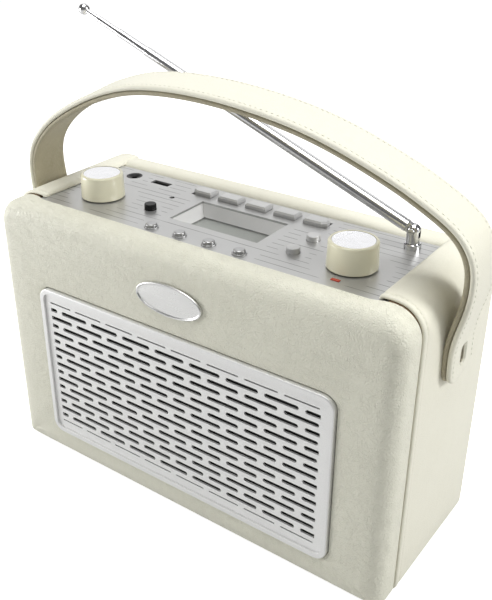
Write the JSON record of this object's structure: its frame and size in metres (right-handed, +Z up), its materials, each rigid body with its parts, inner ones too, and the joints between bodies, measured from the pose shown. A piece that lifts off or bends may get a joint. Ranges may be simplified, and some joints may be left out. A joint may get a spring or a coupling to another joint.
{
  "type": "leather portable radio",
  "caption": "Cream leather-covered portable table radio with a slotted speaker grille, top control panel, strap handle and folding telescopic antenna.",
  "frame": {"origin": "centre of the footprint, on the plane that the feet rest on", "axes": "+Z up, -Y towards the speaker grille at the front, +X to the right seen from the front"},
  "size_m": [0.2794, 0.1032, 0.2669],
  "materials": {
    "cream_leather": "satin",
    "lining_leather": "matte",
    "rear_leatherette": "satin",
    "wood_board": "matte",
    "foot_rubber": "matte",
    "grille_silver": "satin",
    "black_cloth": "matte",
    "badge_chrome": "gloss",
    "screw_steel": "satin",
    "panel_silver": "satin",
    "tray_grey": "matte",
    "window_clear": "gloss",
    "lcd_grey": "satin",
    "board_green": "matte",
    "black_plastic": "satin",
    "knob_cream": "gloss",
    "disc_polished": "polished",
    "button_chrome": "gloss",
    "key_grey": "satin",
    "socket_steel": "satin",
    "lens_red": "gloss",
    "speaker_black": "satin",
    "magnet_iron": "matte",
    "cone_paper": "matte",
    "cell_wrap": "gloss",
    "antenna_chrome": "gloss",
    "stud_beige": "satin"
  },
  "bodies": {
    "root": {"antenna_bush": "antenna_chrome", "badge": "badge_chrome", "battery_box": "black_plastic", "battery_cells": "cell_wrap", "button_rings": "button_chrome", "cabinet_core": "wood_board", "case_screws": "screw_steel", "control_plate": "panel_silver", "control_tray": "tray_grey", "dc_inlet": "black_plastic", "display_window": "window_clear", "feet": "foot_rubber", "front_baffle": "wood_board", "front_cover": "cream_leather", "grille_cloth": "black_cloth", "grille_frame": "grille_silver", "grille_plate": "grille_silver", "handle_studs": "stud_beige", "headphone_jack": "black_plastic", "indicator_lens": "lens_red", "lcd_module": "lcd_grey", "leather_band": "cream_leather", "main_board": "board_green", "rear_panel": "rear_leatherette", "rear_rail": "cream_leather", "rotary_controls": "screw_steel", "speaker_basket": "speaker_black", "speaker_cone": "cone_paper", "speaker_magnet": "magnet_iron", "tact_switches": "black_plastic", "usb_socket": "socket_steel"},
    "handle": {"handle_strap": "cream_leather", "handle_lining": "lining_leather"},
    "volume": {"volume_knob": "knob_cream", "volume_disc": "disc_polished", "volume_shaft": "screw_steel"},
    "tuning": {"tuning_knob": "knob_cream", "tuning_disc": "disc_polished", "tuning_shaft": "screw_steel"},
    "antenna_fork": {"antenna_turret": "antenna_chrome", "antenna_pivot": "antenna_chrome"},
    "antenna_mast": {"antenna_knuckle": "antenna_chrome", "antenna_tube_1": "antenna_chrome"},
    "antenna_section_2": {"antenna_tube_2": "antenna_chrome"},
    "antenna_section_3": {"antenna_tube_3": "antenna_chrome"},
    "antenna_section_4": {"antenna_tube_4": "antenna_chrome"},
    "antenna_end": {"antenna_tip": "antenna_chrome"},
    "battery_cover": {"battery_door": "rear_leatherette"},
    "power_push": {"power_button": "black_plastic"},
    "upper_push": {"round_button_upper": "key_grey"},
    "lower_push": {"round_button_lower": "key_grey"},
    "preset_1": {"preset_key_1": "key_grey"},
    "preset_2": {"preset_key_2": "key_grey"},
    "preset_3": {"preset_key_3": "key_grey"},
    "preset_4": {"preset_key_4": "key_grey"},
    "preset_5": {"preset_key_5": "key_grey"},
    "function_1": {"function_button_1": "button_chrome"},
    "function_2": {"function_button_2": "button_chrome"},
    "function_3": {"function_button_3": "button_chrome"},
    "function_4": {"function_button_4": "button_chrome"}
  },
  "joints": [
    {"name": "handle_swing", "type": "hinge", "parent": "root", "child": "handle", "pos_m": [0, 0, 0.1345], "axis": [1, 0, 0], "range_deg": [-10, 80]},
    {"name": "volume_turn", "type": "hinge", "parent": "root", "child": "volume", "pos_m": [-0.0809, -0.01055, 0.1691], "axis": [0, 0, -1], "range_deg": [-150, 150]},
    {"name": "tuning_turn", "type": "hinge", "parent": "root", "child": "tuning", "pos_m": [0.0809, -0.01055, 0.1691], "axis": [0, 0, -1], "continuous": true},
    {"name": "antenna_swivel", "type": "hinge", "parent": "root", "child": "antenna_fork", "pos_m": [0.0947, 0.02535, 0.178], "axis": [0, 0, -1], "range_deg": [0, 180]},
    {"name": "antenna_fold", "type": "hinge", "parent": "antenna_fork", "child": "antenna_mast", "pos_m": [0.0947, 0.02535, 0.178], "axis": [0, 1, 0], "range_deg": [-21.7, 68.3]},
    {"name": "antenna_slide_2", "type": "slide", "parent": "antenna_mast", "child": "antenna_section_2", "axis": [-0.9291, 0, 0.3697], "range_m": [-0.0257, 0.098]},
    {"name": "antenna_slide_3", "type": "slide", "parent": "antenna_section_2", "child": "antenna_section_3", "axis": [-0.9291, 0, 0.3697], "range_m": [-0.0203, 0.106]},
    {"name": "antenna_slide_4", "type": "slide", "parent": "antenna_section_3", "child": "antenna_section_4", "axis": [-0.9291, 0, 0.3697], "range_m": [-0.0155, 0.111]},
    {"name": "antenna_slide_5", "type": "slide", "parent": "antenna_section_4", "child": "antenna_end", "axis": [-0.9291, 0, 0.3697], "range_m": [-0.0075, 0.119]},
    {"name": "battery_door_tilt", "type": "hinge", "parent": "root", "child": "battery_cover", "pos_m": [0, 0.0483, 0.0156], "axis": [-1, 0, 0], "range_deg": [0, 95]},
    {"name": "preset_1_press", "type": "slide", "parent": "root", "child": "preset_1", "axis": [0, 0, -1], "range_m": [0, 0.001], "stiffness_N_per_m": 400},
    {"name": "preset_2_press", "type": "slide", "parent": "root", "child": "preset_2", "axis": [0, 0, -1], "range_m": [0, 0.001], "stiffness_N_per_m": 400},
    {"name": "preset_3_press", "type": "slide", "parent": "root", "child": "preset_3", "axis": [0, 0, -1], "range_m": [0, 0.001], "stiffness_N_per_m": 400},
    {"name": "preset_4_press", "type": "slide", "parent": "root", "child": "preset_4", "axis": [0, 0, -1], "range_m": [0, 0.001], "stiffness_N_per_m": 400},
    {"name": "preset_5_press", "type": "slide", "parent": "root", "child": "preset_5", "axis": [0, 0, -1], "range_m": [0, 0.001], "stiffness_N_per_m": 400},
    {"name": "function_1_press", "type": "slide", "parent": "root", "child": "function_1", "axis": [0, 0, -1], "range_m": [0, 0.001], "stiffness_N_per_m": 400},
    {"name": "function_2_press", "type": "slide", "parent": "root", "child": "function_2", "axis": [0, 0, -1], "range_m": [0, 0.001], "stiffness_N_per_m": 400},
    {"name": "function_3_press", "type": "slide", "parent": "root", "child": "function_3", "axis": [0, 0, -1], "range_m": [0, 0.001], "stiffness_N_per_m": 400},
    {"name": "function_4_press", "type": "slide", "parent": "root", "child": "function_4", "axis": [0, 0, -1], "range_m": [0, 0.001], "stiffness_N_per_m": 400},
    {"name": "upper_press", "type": "slide", "parent": "root", "child": "upper_push", "axis": [0, 0, -1], "range_m": [0, 0.001], "stiffness_N_per_m": 400},
    {"name": "lower_press", "type": "slide", "parent": "root", "child": "lower_push", "axis": [0, 0, -1], "range_m": [0, 0.001], "stiffness_N_per_m": 400},
    {"name": "power_press", "type": "slide", "parent": "root", "child": "power_push", "axis": [0, 0, -1], "range_m": [0, 0.001], "stiffness_N_per_m": 400}
  ]
}
